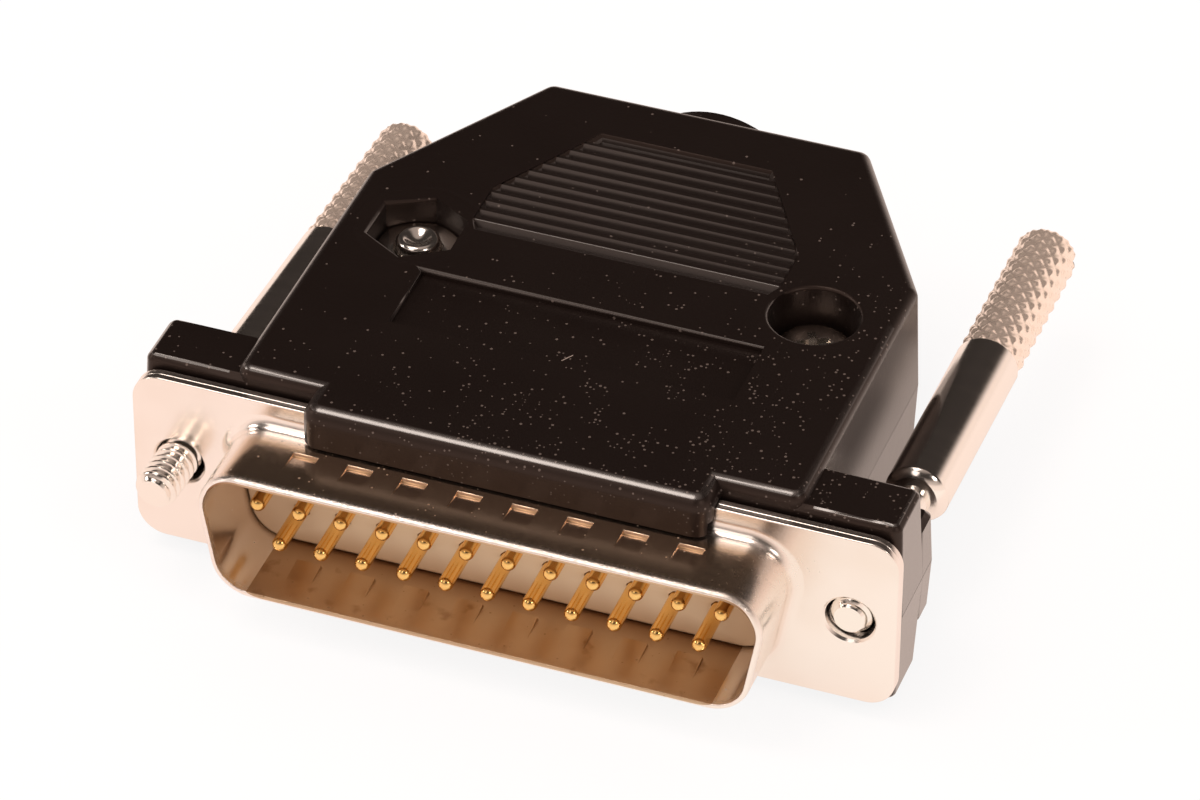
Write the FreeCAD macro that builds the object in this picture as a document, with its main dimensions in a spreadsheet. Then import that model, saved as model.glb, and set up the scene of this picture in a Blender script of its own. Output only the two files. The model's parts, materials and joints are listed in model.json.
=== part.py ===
import FreeCAD, Part

import os
import re

import Sketcher

# Driving sizes in millimetres, and angles in degrees.
# X runs along the rows of pins, Y runs back from the mating face, Z points up.
SIZES = {
    # pins and the two blocks that hold them
    "upper_pins": 12,
    "pin_pitch": 2.77,
    "row_gap": 2.84,
    "pin_radius": 0.5,
    "pin_reach": 4.25,
    "pin_point": 0.38,
    "pin_blunting": 0.8,
    "collar_width": 1.7,
    "collar_length": 0.8,
    "tail_width": 1.3,
    "tail_length": 3.4,
    "trough_width": 0.8,
    "trough_depth": 0.85,
    "trough_length": 2.8,
    "pin_clearance": 0.03,
    "block_face": 0.15,
    "front_block_plate": 1.15,
    "rear_block_length": 3.6,
    "block_clearance": 0.05,
    # the two drawn metal shells
    "sheet": 0.45,
    "mouth_margin": 2.865,
    "mouth_height": 8.36,
    "mouth_corner": 2.3,
    "mouth_slope": 10,
    "mouth_reach": 5.85,
    "mouth_root": 0.85,
    "mouth_entry": 0.9,
    "rim_rounding": 0.14,
    "hole_margin": 4.1,
    "hole_radius": 1.62,
    "hole_rounding": 0.15,
    "ear_margin": 3.05,
    "flange_height": 12.54,
    "flange_corner": 1.9,
    "box_inset": 0.3,
    "box_height": 10.6,
    "box_length": 3.7,
    "box_lip": 0.7,
    "box_corner": 1.2,
    "dimple_count": 8,
    "dimple_pitch": 3.62,
    "dimple_width": 1.65,
    "dimple_length": 1.9,
    "dimple_depth": 0.26,
    "dimple_start": 2.0,
    "dimple_run_out": 0.03,
    "dimple_overlap": 0.02,
    # the moulded hood, which is two alike halves
    "hood_half_height": 7.6,
    "hood_front": 0.92,
    "shoulder_y": 23.9,
    "rear_y": 37.35,
    "rear_half": 11.2,
    "hood_draft": 2.2,
    "hood_corner": 0.95,
    "hood_edge": 0.75,
    "hood_wall": 1.6,
    "window_wall": 1.0,
    "panel_wall": 1.0,
    "window_depth": 4.6,
    "fit_gap": 0.15,
    "ear_setback": 0.1,
    "ear_height": 6.9,
    "ear_depth": 5.0,
    "ear_draft": 2.6,
    "ear_corner": 0.6,
    "ear_edge": 0.35,
    "boss_height": 3.8,
    "boss_depth": 1.9,
    "lip_half": 13.4,
    "lip_reach": 1.4,
    "lip_bottom": 4.78,
    "lip_rounding": 1.15,
    "lip_top_rounding": 0.9,
    "lip_root": 3,
    "slot_gap": 0.07,
    "collar_outer": 6.3,
    "outlet_radius": 4.4,
    "outlet_length": 1.8,
    "label_half": 11.5,
    "label_front": 8.9,
    "label_rear": 14.7,
    "label_depth": 0.5,
    "grip_depth": 0.5,
    "grip_front": 20.18,
    "grip_side": 24.5,
    "grip_rear": 32.38,
    "grip_half": 10.17,
    "grip_rear_half": 5.75,
    "grip_cut": 0.4,
    "grip_slope": 25,
    "ridge_count": 11,
    "ridge_pitch": 1.0165,
    "ridge_first": 1.0,
    "ridge_top": 0.3,
    "ridge_foot": 0.86,
    "ridge_drop": 0.06,
    # screws and nuts that close the hood
    "closure_x": 13.4,
    "closure_y": 18.9,
    "closure_radius": 1.47,
    "closure_hole": 1.65,
    "closure_seat": 3.6,
    "closure_length": 10.4,
    "closure_chamfer": 0.4,
    "head_radius": 2.7,
    "head_height": 1.9,
    "head_recess": 1.0,
    "head_rim_height": 0.5,
    "head_crown": 0.7,
    "recess_reach": 0.55,
    "recess_half": 0.3,
    "well_radius": 2.93,
    "well_boss": 4.3,
    "nut_flats": 5.45,
    "nut_height": 2.4,
    "nut_play": 0.04,
    "nut_pocket_gap": 0.12,
    "nut_seat": 3.5,
    "nut_boss": 4.6,
    # the two jackscrews
    "thread_radius": 1.38,
    "thread_length": 5.4,
    "thread_chamfer": 0.35,
    "neck_radius": 1.1,
    "neck_play": 0.25,
    "thread_play": 0.2,
    "screw_travel": 4.6,
    "rest_forward": 3.6,
    "left_lean": 2.0,
    "right_lean": 0.6,
    "lean_pivot": 5,
    "shank_thick": 2.1,
    "shank_length": 14.8,
    "shoulder_chamfer": 0.5,
    "knurl_radius": 1.97,
    "knurl_length": 13.1,
    "knurl_chamfer": 0.45,
    "slot_width": 0.7,
    "slot_depth": 1.0,
    # the cable clamp inside the hood
    "saddle_thick": 0.8,
    "saddle_half": 9.4,
    "saddle_front": 29.2,
    "saddle_length": 4.6,
    "saddle_gap": 0.4,
    "saddle_arch": 3.6,
    "clamp_x": 6.9,
    "clamp_screw_radius": 1.22,
    "clamp_hole": 1.35,
    "clamp_screw_length": 4.0,
    "clamp_head_radius": 2.2,
    "clamp_head_height": 1.5,
    "clamp_head_crown": 0.9,
    "clamp_nut_flats": 4.9,
    "clamp_nut_height": 1.9,
    "ledge_gap": 0.2,
    "ledge_half": 2.3,
    "clamp_slot_depth": 0.6,
    "rib_half": 9,
    "rib_thick": 1.2,
    "rib_gap": 0.2,
    # how far joined forms reach into each other, and cutting tools past what they cut
    "weld": 0.3,
    "join_depth": 1,
    "overcut": 1,
}

# Lengths that follow from the driving sizes, as formulas.
MOUTH_HALF = "((upper_pins - 1) * pin_pitch / 2 + mouth_margin)"
HOLE_X = f"({MOUTH_HALF} + hole_margin)"
FLANGE_HALF = f"({HOLE_X} + ear_margin)"
MOUTH_TOP = "(mouth_height / 2)"
BOX_HALF = f"({MOUTH_HALF} - box_inset)"
BOX_TOP = "(box_height / 2)"
BODY_HALF = f"({BOX_HALF} + fit_gap + window_wall)"
EAR_HALF = f"({FLANGE_HALF} - ear_setback)"
FLANGE_REAR = "(2 * sheet)"
BLOCK_JOIN = "(sheet + front_block_plate)"
BLOCK_REAR = f"({BLOCK_JOIN} + rear_block_length)"
HOOD_TURN = "atan((%s - rear_half) / (rear_y - shoulder_y))" % BODY_HALF
EAR_REAR = "(hood_front + ear_depth)"
BOSS_REAR = f"({EAR_REAR} + boss_depth)"
NECK_START = "(thread_length + thread_play)"
SHOULDER = f"({BOSS_REAR} + screw_travel + thread_play)"
SADDLE_TOP = "(saddle_gap / 2 + saddle_thick)"
LEDGE_Z = f"({SADDLE_TOP} + clamp_nut_height + ledge_gap)"
CAVITY_TOP = "(hood_half_height - label_depth - panel_wall)"

doc = FreeCAD.newDocument("dsub_connector")
sheet = doc.addObject("Spreadsheet::Sheet", "sizes")
for row, (alias, number) in enumerate(SIZES.items(), start=1):
    sheet.set(f"A{row}", alias)
    sheet.set(f"B{row}", str(number))
    sheet.setAlias(f"B{row}", alias)
doc.recompute()


def formula(text):
    """The text with every size named as a cell of the sheet."""
    return re.sub(r"[a-z_]+", lambda word: "sizes." + word[0] if word[0] in SIZES else word[0], str(text))


def value(text):
    """The number that a formula gives now."""
    result = sheet.evalExpression(formula(text))
    return float(getattr(result, "Value", result))


def edges_at(shape, x=None, y=None, z=None, slack=1e-3):
    """Names of the edges that lie wholly at the given coordinates."""
    names = []
    for number, edge in enumerate(shape.Edges, start=1):
        box = edge.BoundBox
        spans = ((x, box.XMin, box.XMax), (y, box.YMin, box.YMax), (z, box.ZMin, box.ZMax))
        if all(at is None or (abs(low - at) < slack and abs(high - at) < slack) for at, low, high in spans):
            names.append(f"Edge{number}")
    return names


def upright_edges(shape, behind=-1e9, ahead=1e9):
    """Names of the edges that rise in Z between two depths."""
    names = []
    for number, edge in enumerate(shape.Edges, start=1):
        box = edge.BoundBox
        if box.ZLength > 0.5 and max(box.XLength, box.YLength) < 0.4 * box.ZLength:
            if behind < box.YMin and box.YMax < ahead:
                names.append(f"Edge{number}")
    return names


class Piece:
    """One physical piece: a body whose features take their sizes from the sheet."""

    def __init__(self, label):
        self.body = doc.addObject("PartDesign::Body", label)
        self.body.Label = label
        self.features = 0

    def feature(self, kind):
        self.features += 1
        return self.body.newObject(kind, f"{self.body.Name}_{self.features}")

    def plane(self, role):
        return next(item for item in self.body.Origin.OriginFeatures if item.Role == role)

    def sketch(self, role="XY_Plane", lift="0"):
        """An empty sketch on one of the piece's own planes, lifted along its normal."""
        made = self.feature("Sketcher::SketchObject")
        made.AttachmentSupport = (self.plane(role), [""])
        made.MapMode = "FlatFace"
        made.setExpression("AttachmentOffset.Base.z", formula(lift))
        return made

    def pad(self, profile, length, back=False):
        made = self.feature("PartDesign::Pad")
        made.Profile = profile
        made.setExpression("Length", formula(length))
        made.Reversed = back
        return self.finish(made)

    def draft_walls(self, angle, outwards=False):
        """Leans every upright wall inwards or outwards, hinged at Z = 0."""
        before = self.last_shape()
        walls = [f"Face{n}" for n, face in enumerate(before.Shape.Faces, start=1) if face.BoundBox.ZLength > 0.5]
        made = self.feature("PartDesign::Draft")
        made.Base = (before, walls)
        made.NeutralPlane = (self.plane("XY_Plane"), [""])
        made.setExpression("Angle", formula(angle))
        made.Reversed = outwards
        return self.finish(made)

    def pocket(self, profile, length, back=False, both=False):
        """A cut that goes against the sketch's normal, or along it where back is set."""
        before = self.last_shape().Shape.Volume
        made = self.feature("PartDesign::Pocket")
        made.Profile = profile
        made.setExpression("Length", formula(length))
        made.Reversed = back
        made.Midplane = both
        self.finish(made)
        if made.Shape.Volume > before - 1e-6:
            raise ValueError(f"{made.Name} cuts nothing")
        return made

    def turn(self, profile, axis="Y_Axis"):
        made = self.feature("PartDesign::Revolution")
        made.Profile = profile
        made.ReferenceAxis = (self.plane(axis), [""])
        made.Angle = 360
        return self.finish(made)

    def rows(self, originals, count, pitch, axis="X_Axis"):
        """Repeats features along an axis."""
        made = self.feature("PartDesign::LinearPattern")
        made.Originals = originals
        made.Direction = (self.plane(axis), [""])
        made.Mode = "Spacing"
        made.setExpression("Occurrences", formula(count))
        made.setExpression("Offset", formula(pitch))
        return self.finish(made)

    def round_edges(self, names, radius):
        before = self.last_shape()
        made = self.feature("PartDesign::Fillet")
        made.Base = (before, names)
        made.setExpression("Radius", formula(radius))
        return self.finish(made)

    def chamfer_edges(self, names, size):
        before = self.last_shape()
        made = self.feature("PartDesign::Chamfer")
        made.Base = (before, names)
        made.setExpression("Size", formula(size))
        return self.finish(made)

    def join(self, kind, tool):
        """Fuse takes another piece's solid in, and Cut takes it away."""
        made = self.feature("PartDesign::Boolean")
        made.Type = kind
        made.setObjects([tool.body])
        return self.finish(made)

    def last_shape(self):
        doc.recompute()
        return self.body.Tip

    def finish(self, made):
        self.body.Tip = made
        doc.recompute()
        if "Invalid" in made.State or "Error" in made.State or made.Shape.isNull():
            raise ValueError(f"{made.Name} of {self.body.Label} failed")
        return made

    def place(self, x="0", y="0", z="0", half_turn=False):
        if half_turn:
            self.body.Placement = FreeCAD.Placement(FreeCAD.Vector(), FreeCAD.Rotation(FreeCAD.Vector(0, 1, 0), 180))
        for letter, text in zip("xyz", (x, y, z)):
            self.body.setExpression(f"Placement.Base.{letter}", formula(text))


def outline(sketch, corners):
    """A closed outline of straight sides, each corner held by two formulas."""
    points = [FreeCAD.Vector(value(across), value(up), 0) for across, up in corners]
    last = len(points) - 1
    first = sketch.GeometryCount
    for number, point in enumerate(points):
        sketch.addGeometry(Part.LineSegment(point, points[0 if number == last else number + 1]), False)
    for number in range(len(points)):
        following = first if number == last else first + number + 1
        sketch.addConstraint(Sketcher.Constraint("Coincident", first + number, 2, following, 1))
    for number, (point, texts) in enumerate(zip(points, corners)):
        for kind, at, text in (("DistanceX", point.x, texts[0]), ("DistanceY", point.y, texts[1])):
            held = sketch.addConstraint(Sketcher.Constraint(kind, -1, 1, first + number, 1, at))
            sketch.setExpression(f"Constraints[{held}]", formula(text))
    return sketch


def rectangle(sketch, left, right, low, high):
    return outline(sketch, [(left, low), (right, low), (right, high), (left, high)])


def circle(sketch, across, up, radius):
    """A circle whose centre and radius are held by formulas."""
    centre = FreeCAD.Vector(value(across), value(up), 0)
    ring = sketch.addGeometry(Part.Circle(centre, FreeCAD.Vector(0, 0, 1), value(radius)), False)
    held = sketch.addConstraint(Sketcher.Constraint("Radius", ring, value(radius)))
    sketch.setExpression(f"Constraints[{held}]", formula(radius))
    for kind, at, text in (("DistanceX", centre.x, across), ("DistanceY", centre.y, up)):
        held = sketch.addConstraint(Sketcher.Constraint(kind, -1, 1, ring, 3, at))
        sketch.setExpression(f"Constraints[{held}]", formula(text))
    return sketch


def polygon(sketch, across, up, flats, sides, turn):
    """A regular polygon by its width across flats, with its first corner at an angle."""
    reach = f"({flats}) / (2 * cos({180 / sides}))"
    angles = [turn + 360 * number / sides for number in range(sides)]
    return outline(sketch, [(f"{across} + {reach} * cos({angle})", f"{up} + {reach} * sin({angle})")
                            for angle in angles])


def hexagon(sketch, across, up, flats):
    """A hexagon with two corners in line with the sketch's second axis."""
    return polygon(sketch, across, up, flats, 6, 30)


def square(sketch, across, up, width):
    half = f"({width}) / 2"
    return rectangle(sketch, f"{across} - {half}", f"{across} + {half}", f"{up} - {half}", f"{up} + {half}")


def trapezium(sketch, half_width, half_height):
    """The mouth's outline with sharp corners: wide side up, both ends sloping in."""
    slope = f"2 * ({half_height}) * tan(mouth_slope)"
    corner = "mouth_corner * ((1 + sin(mouth_slope)) / cos(mouth_slope) - 1)"
    top = f"({half_width} + {corner})"
    foot = f"({top} - {slope})"
    corners = [(f"-{foot}", f"-({half_height})"), (foot, f"-({half_height})")]
    return outline(sketch, corners + [(top, half_height), (f"-{top}", half_height)])


def corner_edges(shape, y_low, y_high):
    """The four straight edges that run along Y between two depths."""
    names = []
    for number, edge in enumerate(shape.Edges, start=1):
        box = edge.BoundBox
        if abs(box.YMin - y_low) < 1e-3 and abs(box.YMax - y_high) < 1e-3 and box.XLength < 1e-3:
            names.append(f"Edge{number}")
    return names


# The plug's own pieces


def front_shell():
    """The drawn shell that carries the mouth, its flange and its grounding dimples."""
    piece = Piece("front_shell")
    piece.pad(trapezium(piece.sketch("XZ_Plane", "-sheet"), f"({MOUTH_HALF} + sheet)", f"({MOUTH_TOP} + sheet)"),
              "mouth_reach + sheet")
    corners = corner_edges(piece.last_shape().Shape, value("-mouth_reach"), value("sheet"))
    piece.round_edges(corners, "mouth_corner + sheet")
    piece.chamfer_edges(edges_at(piece.last_shape().Shape, y=value("-mouth_reach")), "rim_rounding")
    flange = piece.sketch("XZ_Plane")
    rectangle(flange, f"-{FLANGE_HALF}", FLANGE_HALF, "-flange_height / 2", "flange_height / 2")
    piece.pad(flange, "sheet", back=True)
    shape = piece.last_shape().Shape
    ends = [name for name in corner_edges(shape, 0, value("sheet"))
            if abs(shape.Edges[int(name[4:]) - 1].BoundBox.XMax) > value(HOLE_X)]
    piece.round_edges(ends, "flange_corner")
    shape = piece.last_shape().Shape
    root = [name for name in edges_at(shape, y=0)
            if abs(shape.Edges[int(name[4:]) - 1].BoundBox.Center.x) < value(HOLE_X)
            and abs(shape.Edges[int(name[4:]) - 1].BoundBox.Center.z) < value(BOX_TOP)]
    piece.round_edges(root, "mouth_root")
    hollow = Piece("mouth_hollow")
    hollow.pad(trapezium(hollow.sketch("XZ_Plane", "-2 * sheet"), MOUTH_HALF, MOUTH_TOP), "mouth_reach + 3 * sheet")
    reach = value("mouth_reach + sheet")
    hollow.round_edges(corner_edges(hollow.last_shape().Shape, -reach, value("2 * sheet")), "mouth_corner")
    piece.join("Cut", hollow)
    shape = piece.last_shape().Shape
    inner = [name for name in edges_at(shape, y=value("sheet"))
             if abs(shape.Edges[int(name[4:]) - 1].BoundBox.Center.x) < value(HOLE_X)
             and abs(shape.Edges[int(name[4:]) - 1].BoundBox.Center.z) < value(BOX_TOP)]
    piece.chamfer_edges(inner, "sheet * mouth_entry")
    holes = piece.sketch("XZ_Plane", "sheet")
    circle(holes, HOLE_X, "0", "hole_radius")
    circle(holes, f"-{HOLE_X}", "0", "hole_radius")
    piece.pocket(holes, "3 * sheet")
    shape = piece.last_shape().Shape
    mouths = [name for name in edges_at(shape, y=0)
              if abs(shape.Edges[int(name[4:]) - 1].BoundBox.XLength - value("2 * hole_radius")) < 1e-3]
    piece.chamfer_edges(mouths, "hole_rounding")
    for side in ("", "-"):
        dimples(piece, side)


def dimples(piece, side):
    """A row of wedges pressed into one wall of the mouth: hollow outside and raised inside."""
    start = "-dimple_start"
    tip = "-dimple_start - dimple_length"
    first = "(-(dimple_count - 1) * dimple_pitch / 2)"
    outer = f"({MOUTH_TOP} + sheet)"
    for wall, kind in ((MOUTH_TOP, "raised"), (outer, "hollow")):
        wedge = piece.sketch("YZ_Plane", f"{first} - dimple_width / 2")
        sunk = f"({wall} - dimple_depth)"
        base = f"({wall} + dimple_overlap)"
        corners = [(start, f"{side}{base}"), (start, f"{side}{sunk}"), (tip, f"{side}({wall} - dimple_run_out)"),
                   (tip, f"{side}{base}")]
        if side:
            corners.reverse()
        outline(wedge, corners)
        if kind == "raised":
            made = piece.pad(wedge, "dimple_width")
        else:
            made = piece.pocket(wedge, "dimple_width", back=True)
        piece.rows([made], "dimple_count", "dimple_pitch")


def rear_shell():
    """The second shell: a flange behind the first one and a box with a turned-in rear lip."""
    piece = Piece("rear_shell")
    flange = piece.sketch("XZ_Plane", "-sheet")
    rectangle(flange, f"-{FLANGE_HALF}", FLANGE_HALF, "-flange_height / 2", "flange_height / 2")
    piece.pad(flange, "sheet", back=True)
    ends = corner_edges(piece.last_shape().Shape, value("sheet"), value(FLANGE_REAR))
    piece.round_edges(ends, "flange_corner")
    box = piece.sketch("XZ_Plane", f"-{FLANGE_REAR}")
    rectangle(box, f"-{BOX_HALF}", BOX_HALF, f"-{BOX_TOP}", BOX_TOP)
    piece.pad(box, "box_length", back=True)
    rear = value(f"{FLANGE_REAR} + box_length")
    piece.round_edges(corner_edges(piece.last_shape().Shape, value(FLANGE_REAR), rear), "box_corner")
    hollow = piece.sketch("XZ_Plane")
    inside = f"({BOX_HALF} - sheet)"
    inside_top = f"({BOX_TOP} - sheet)"
    rectangle(hollow, f"-{inside}", inside, f"-{inside_top}", inside_top)
    piece.pocket(hollow, f"{FLANGE_REAR} + box_length - sheet")
    mouth = piece.sketch("XZ_Plane")
    lip = f"({BOX_HALF} - sheet - box_lip)"
    lip_top = f"({BOX_TOP} - sheet - box_lip)"
    rectangle(mouth, f"-{lip}", lip, f"-{lip_top}", lip_top)
    piece.pocket(mouth, f"{FLANGE_REAR} + box_length + overcut")
    holes = piece.sketch("XZ_Plane")
    circle(holes, HOLE_X, "0", "hole_radius")
    circle(holes, f"-{HOLE_X}", "0", "hole_radius")
    piece.pocket(holes, "4 * sheet")


def insulators():
    """The two moulded blocks: a nose that fills the mouth, and a rear block that traps the pin collars."""
    front = Piece("front_insulator")
    nose = f"({MOUTH_HALF} - block_clearance)"
    nose_top = f"({MOUTH_TOP} - block_clearance)"
    front.pad(trapezium(front.sketch("XZ_Plane", "-sheet"), nose, nose_top), "sheet + block_face")
    corners = corner_edges(front.last_shape().Shape, value("-block_face"), value("sheet"))
    front.round_edges(corners, "mouth_corner")
    plate = front.sketch("XZ_Plane", "-sheet")
    inside = f"({BOX_HALF} - sheet - block_clearance)"
    inside_top = f"({BOX_TOP} - sheet - block_clearance)"
    rectangle(plate, f"-{inside}", inside, f"-{inside_top}", inside_top)
    front.pad(plate, "front_block_plate", back=True)
    rear = Piece("rear_insulator")
    block = rear.sketch("XZ_Plane", f"-{BLOCK_JOIN}")
    rectangle(block, f"-{inside}", inside, f"-{inside_top}", inside_top)
    lip_start = f"({FLANGE_REAR} + box_length - sheet - block_clearance)"
    rear.pad(block, f"{lip_start} - {BLOCK_JOIN}", back=True)
    tail = rear.sketch("XZ_Plane", f"-{BLOCK_JOIN}")
    lip = f"({BOX_HALF} - sheet - box_lip - block_clearance)"
    lip_top = f"({BOX_TOP} - sheet - box_lip - block_clearance)"
    rectangle(tail, f"-{lip}", lip, f"-{lip_top}", lip_top)
    rear.pad(tail, "rear_block_length", back=True)
    for row, count in (("row_gap / 2", "upper_pins"), ("-row_gap / 2", "(upper_pins - 1)")):
        first = f"(-({count} - 1) / 2 * pin_pitch)"
        bore = front.sketch("XZ_Plane", "block_face + overcut")
        polygon(bore, first, row, "2 * (pin_radius + pin_clearance)", 8, 22.5)
        front.rows([front.pocket(bore, f"block_face + {BLOCK_JOIN} + 2 * overcut")], count, "pin_pitch")
        well = rear.sketch("XZ_Plane", f"-{BLOCK_JOIN}")
        square(well, first, row, "collar_width + 2 * pin_clearance")
        wells = [rear.pocket(well, "collar_length + pin_clearance")]
        way = rear.sketch("XZ_Plane", f"-{BLOCK_JOIN}")
        square(way, first, row, "tail_width + 2 * pin_clearance")
        wells.append(rear.pocket(way, "rear_block_length + overcut"))
        rear.rows(wells, count, "pin_pitch")


def pin(number, across, up, half_turn):
    """A formed pin: round contact with a blunt point, square collar, and a tail folded into a solder trough.

    The collar sits between the two blocks, and the tail goes in from the front of the rear one.
    """
    piece = Piece(f"pin_{number:02d}")
    collar = f"({BLOCK_JOIN} + pin_clearance / 2)"
    profile = piece.sketch("YZ_Plane")
    outline(profile, [("-pin_reach", "0"), ("-pin_reach", "pin_radius - pin_point * pin_blunting"),
                      ("-pin_reach + pin_point", "pin_radius"), (f"{collar} + weld", "pin_radius"),
                      (f"{collar} + weld", "0")])
    piece.turn(profile)
    piece.pad(square(piece.sketch("XZ_Plane", f"-{collar}"), "0", "0", "collar_width"), "collar_length", back=True)
    tail = square(piece.sketch("XZ_Plane", f"-{collar}"), "0", "0", "tail_width")
    piece.pad(tail, "rear_block_length + tail_length", back=True)
    end = f"({collar} + rear_block_length + tail_length)"
    trough = piece.sketch("YZ_Plane")
    rectangle(trough, f"{end} - trough_length", f"{end} + overcut", "tail_width / 2 - trough_depth", "tail_width")
    piece.pocket(trough, "trough_width", both=True)
    piece.place(across, "0", up, half_turn=half_turn)


def pins():
    """The wide row of pins above, and the other one half a pitch aside below."""
    upper = int(value("upper_pins"))
    for place in range(upper):
        pin(place + 1, f"({place} - (upper_pins - 1) / 2) * pin_pitch", "row_gap / 2", False)
    for place in range(upper - 1):
        pin(upper + place + 1, f"({place} - (upper_pins - 2) / 2) * pin_pitch", "-row_gap / 2", True)


# The hood and what closes it


def hood_half(label, half_turn):
    """Half of the moulded hood. Its twin is the same moulding turned half round about Y."""
    piece = Piece(label)
    corners = [(f"-{BODY_HALF}", "hood_front"), (BODY_HALF, "hood_front"), (BODY_HALF, "shoulder_y"),
               ("rear_half", "rear_y"), ("-rear_half", "rear_y"), (f"-{BODY_HALF}", "shoulder_y")]
    rim = moulded_block(piece, corners, "hood_half_height", "hood_draft", "hood_corner")
    piece.round_edges(rim, "hood_edge")
    ears = Piece(label + "_ears")
    bar = [(f"-{EAR_HALF}", "hood_front"), (EAR_HALF, "hood_front"), (EAR_HALF, EAR_REAR), (f"-{EAR_HALF}", EAR_REAR)]
    ears.chamfer_edges(moulded_block(ears, bar, "ear_height", "ear_draft", "ear_corner"), "ear_edge")
    piece.join("Fuse", ears)
    bosses = Piece(label + "_bosses")
    start = f"({EAR_REAR} - join_depth)"
    bar = [(f"-{EAR_HALF}", start), (EAR_HALF, start), (EAR_HALF, BOSS_REAR), (f"-{EAR_HALF}", BOSS_REAR)]
    bosses.chamfer_edges(moulded_block(bosses, bar, "boss_height", "ear_draft", "ear_corner"), "ear_edge")
    piece.join("Fuse", bosses)
    piece.join("Fuse", lip_bar(label))
    collar = piece.sketch("XZ_Plane", "-rear_y + join_depth")
    circle(collar, "0", "0", "collar_outer")
    piece.pad(collar, "outlet_length + join_depth", back=True)
    below = piece.sketch()
    rectangle(below, f"-{EAR_HALF} - overcut", f"{EAR_HALF} + overcut",
              "-lip_reach - overcut", "rear_y + outlet_length + overcut")
    piece.pocket(below, "hood_half_height + overcut")
    hollows(piece)
    posts_and_wells(piece)
    recesses(piece, label)
    piece.place(half_turn=half_turn)


def moulded_block(piece, corners, height, draft, corner):
    """A block on the parting plane with leaning walls and rounded corners. Returns its top edges."""
    piece.pad(outline(piece.sketch(), corners), height)
    piece.draft_walls(draft)
    piece.round_edges(upright_edges(piece.last_shape().Shape), corner)
    return edges_at(piece.last_shape().Shape, z=value(height))


def lip_bar(label):
    """The lip that reaches over the flange in front of the hood."""
    lip = Piece(label + "_lip")
    bar = lip.sketch("XY_Plane", "lip_bottom")
    rectangle(bar, "-lip_half", "lip_half", "-lip_reach", "hood_front + lip_root")
    lip.pad(bar, "hood_half_height - lip_bottom")
    lip.round_edges(upright_edges(lip.last_shape().Shape, ahead=0), "lip_rounding")
    shape = lip.last_shape().Shape
    top = [name for name in edges_at(shape, z=value("hood_half_height"))
           if shape.Edges[int(name[4:]) - 1].BoundBox.YMin < value("hood_front + lip_root - weld")]
    lip.round_edges(top, "lip_rounding * lip_top_rounding")
    return lip


def hollows(piece):
    """Room for the flange, the rear shell, the wires and the jackscrews, and the cable outlet."""
    slot = piece.sketch("XY_Plane")
    rectangle(slot, f"-{FLANGE_HALF}", FLANGE_HALF, "-slot_gap", f"{FLANGE_REAR} + slot_gap")
    piece.pocket(slot, "flange_height / 2 + fit_gap", back=True)
    relief = piece.sketch("XY_Plane")
    rectangle(relief, "-lip_half - overcut", "lip_half + overcut", "-mouth_root", "0")
    piece.pocket(relief, f"{MOUTH_TOP} + sheet + mouth_root + fit_gap", back=True)
    window = piece.sketch("XY_Plane")
    opening = f"({BOX_HALF} + fit_gap)"
    rectangle(window, f"-{opening}", opening, "0", f"{FLANGE_REAR} + window_depth")
    piece.pocket(window, f"{BOX_TOP} + fit_gap", back=True)
    cavity = piece.sketch("XY_Plane")
    side = f"({BODY_HALF} - hood_wall)"
    bend = f"(shoulder_y - hood_wall * tan({HOOD_TURN} / 2))"
    corner = f"(rear_half - hood_wall * tan((90 deg - {HOOD_TURN}) / 2))"
    back = "(rear_y - hood_wall)"
    outline(cavity, [(f"-{side}", "hood_front + hood_wall"), (side, "hood_front + hood_wall"), (side, bend),
                     (corner, back), (f"-{corner}", back), (f"-{side}", bend)])
    piece.pocket(cavity, CAVITY_TOP, back=True)
    outlet = piece.sketch("XZ_Plane", "-rear_y - outlet_length - overcut")
    circle(outlet, "0", "0", "outlet_radius")
    piece.pocket(outlet, "outlet_length + hood_wall + 2 * overcut", back=True)
    for sign in ("", "-"):
        front = piece.sketch("XZ_Plane")
        circle(front, f"{sign}{HOLE_X}", "0", "thread_radius + thread_play")
        piece.pocket(front, NECK_START)
        rear = piece.sketch("XZ_Plane")
        circle(rear, f"{sign}{HOLE_X}", "0", "neck_radius + neck_play")
        piece.pocket(rear, f"{BOSS_REAR} + overcut")


def posts_and_wells(piece):
    """Posts for the closing screws, with a round well on one side and a nut pocket on the other."""
    for sign, radius in (("", "well_boss"), ("-", "nut_boss")):
        post = piece.sketch()
        circle(post, f"{sign}closure_x", "closure_y", radius)
        piece.pad(post, f"{CAVITY_TOP} + weld")
    rib = piece.sketch("XY_Plane", "outlet_radius")
    rectangle(rib, "-rib_half", "rib_half", "saddle_front - rib_gap - rib_thick", "saddle_front - rib_gap")
    piece.pad(rib, f"{CAVITY_TOP} + weld - outlet_radius")
    for sign in ("", "-"):
        ledge = piece.sketch("XY_Plane", LEDGE_Z)
        rectangle(ledge, f"{sign}clamp_x - ledge_half", f"{sign}clamp_x + ledge_half",
                  "saddle_front", "saddle_front + saddle_length")
        piece.pad(ledge, f"{CAVITY_TOP} + weld - {LEDGE_Z}")
    bores = piece.sketch("XY_Plane")
    circle(bores, "closure_x", "closure_y", "closure_hole")
    circle(bores, "-closure_x", "closure_y", "closure_hole")
    piece.pocket(bores, "hood_half_height + overcut", back=True)
    well = piece.sketch("XY_Plane", "hood_half_height + overcut")
    circle(well, "closure_x", "closure_y", "well_radius")
    piece.pocket(well, "hood_half_height + overcut - closure_seat")
    nut = piece.sketch("XY_Plane", "hood_half_height + overcut")
    hexagon(nut, "-closure_x", "closure_y", "(nut_flats + 2 * nut_pocket_gap)")
    piece.pocket(nut, "hood_half_height + overcut - nut_seat")


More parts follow.
